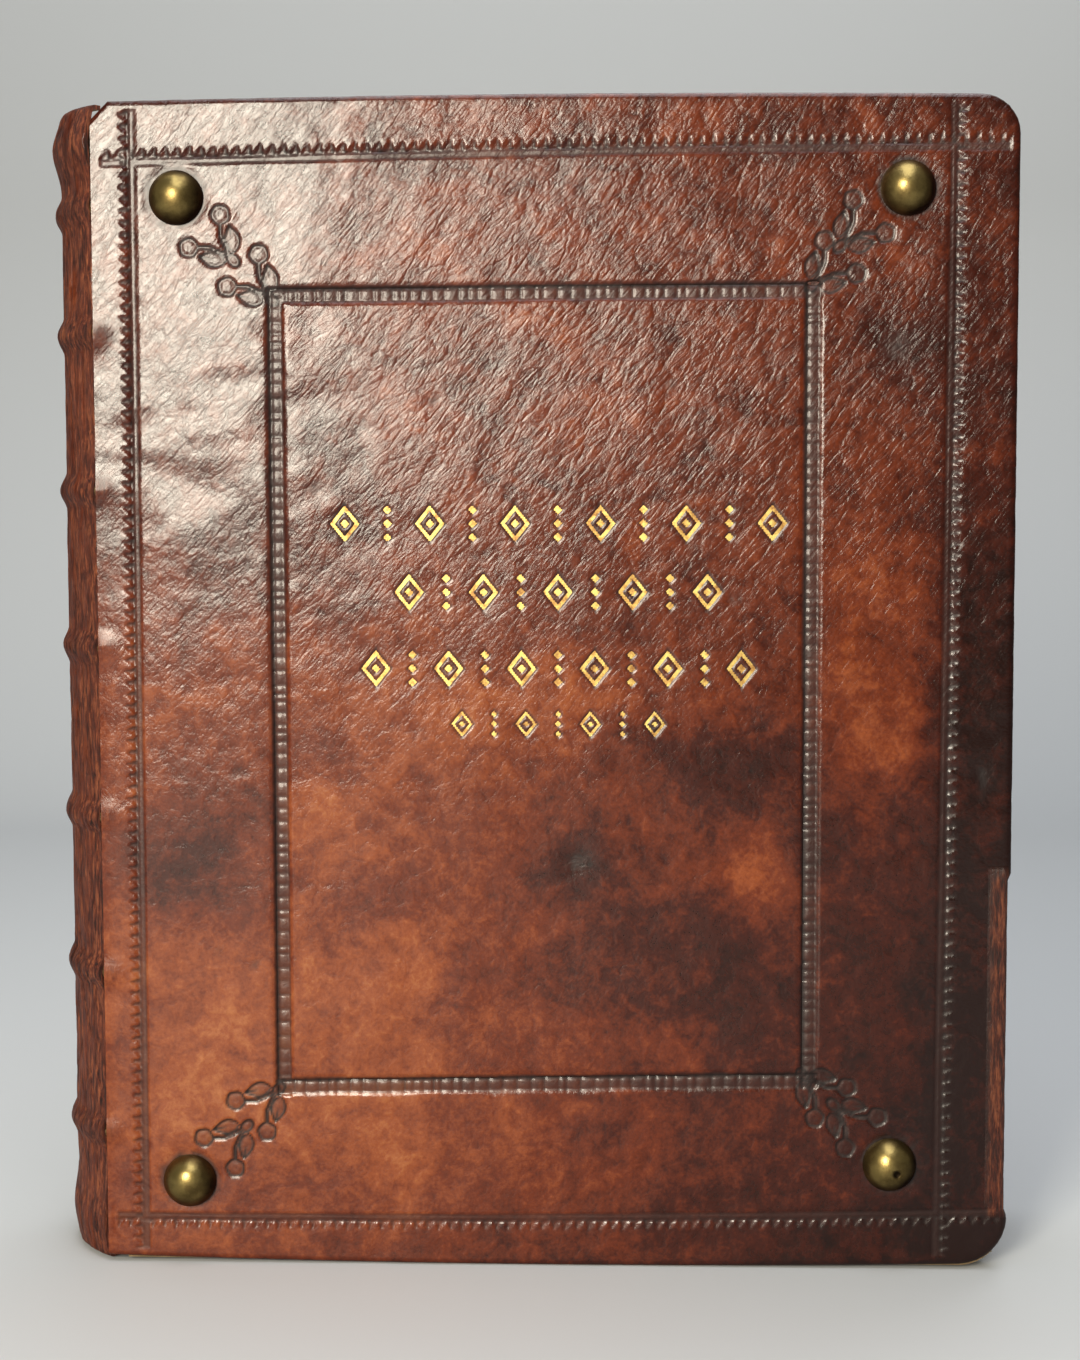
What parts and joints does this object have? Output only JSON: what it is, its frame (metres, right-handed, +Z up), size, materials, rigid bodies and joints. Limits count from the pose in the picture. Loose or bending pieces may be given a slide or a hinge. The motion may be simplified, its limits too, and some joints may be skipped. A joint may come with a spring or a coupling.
{
  "type": "antique leather-bound book",
  "caption": "Large full-calf book sewn on raised cords, two hinged pasteboard covers with blind and gilt tooling and domed brass bosses on the front.",
  "frame": {"origin": "bottom centre of the whole book's box, on the surface that the covers' tail edges stand on", "axes": "+Z up the spine from tail to head, -Y out of the front cover, -X towards the spine, +X towards the fore-edge"},
  "size_m": [0.2912, 0.0716, 0.35],
  "materials": {
    "calf": "aged polished brown calf, worn and mottled",
    "laid_paper": "aged laid rag paper, cut edges",
    "waste_paper": "aged paper lining",
    "pastedown_paper": "aged laid endpaper",
    "pasteboard": "dense pasteboard",
    "hemp_cord": "twisted hemp cord",
    "linen_thread": "wound linen thread",
    "patinated_brass": "polished brass with olive-brown patina",
    "gold_leaf": "worn gold leaf in blind tooling"
  },
  "bodies": {
    "book": {"text_block": "laid_paper", "spine_leather": "calf", "spine_linings": "waste_paper", "headband": "linen_thread", "tailband": "linen_thread", "sewing_cord_1": "hemp_cord", "sewing_cord_2": "hemp_cord", "sewing_cord_3": "hemp_cord", "sewing_cord_4": "hemp_cord", "sewing_cord_5": "hemp_cord", "sewing_cord_6": "hemp_cord", "sewing_cord_7": "hemp_cord"},
    "front_cover": {"front_board": "pasteboard", "front_leather": "calf", "front_pastedown": "pastedown_paper", "front_slips": "hemp_cord", "gilt_tooling": "gold_leaf", "boss_head_spine": "patinated_brass", "boss_head_fore": "patinated_brass", "boss_tail_spine": "patinated_brass", "boss_tail_fore": "patinated_brass"},
    "rear_cover": {"rear_board": "pasteboard", "rear_leather": "calf", "rear_pastedown": "pastedown_paper", "rear_slips": "hemp_cord"}
  },
  "joints": [
    {"name": "front_hinge", "type": "hinge", "parent": "book", "child": "front_cover", "pos_m": [-0.1278, -0.02925, 0.175], "axis": [0, 0, -1], "range_deg": [0, 170]},
    {"name": "rear_hinge", "type": "hinge", "parent": "book", "child": "rear_cover", "pos_m": [-0.1278, 0.03575, 0.175], "axis": [0, 0, 1], "range_deg": [0, 170]}
  ]
}
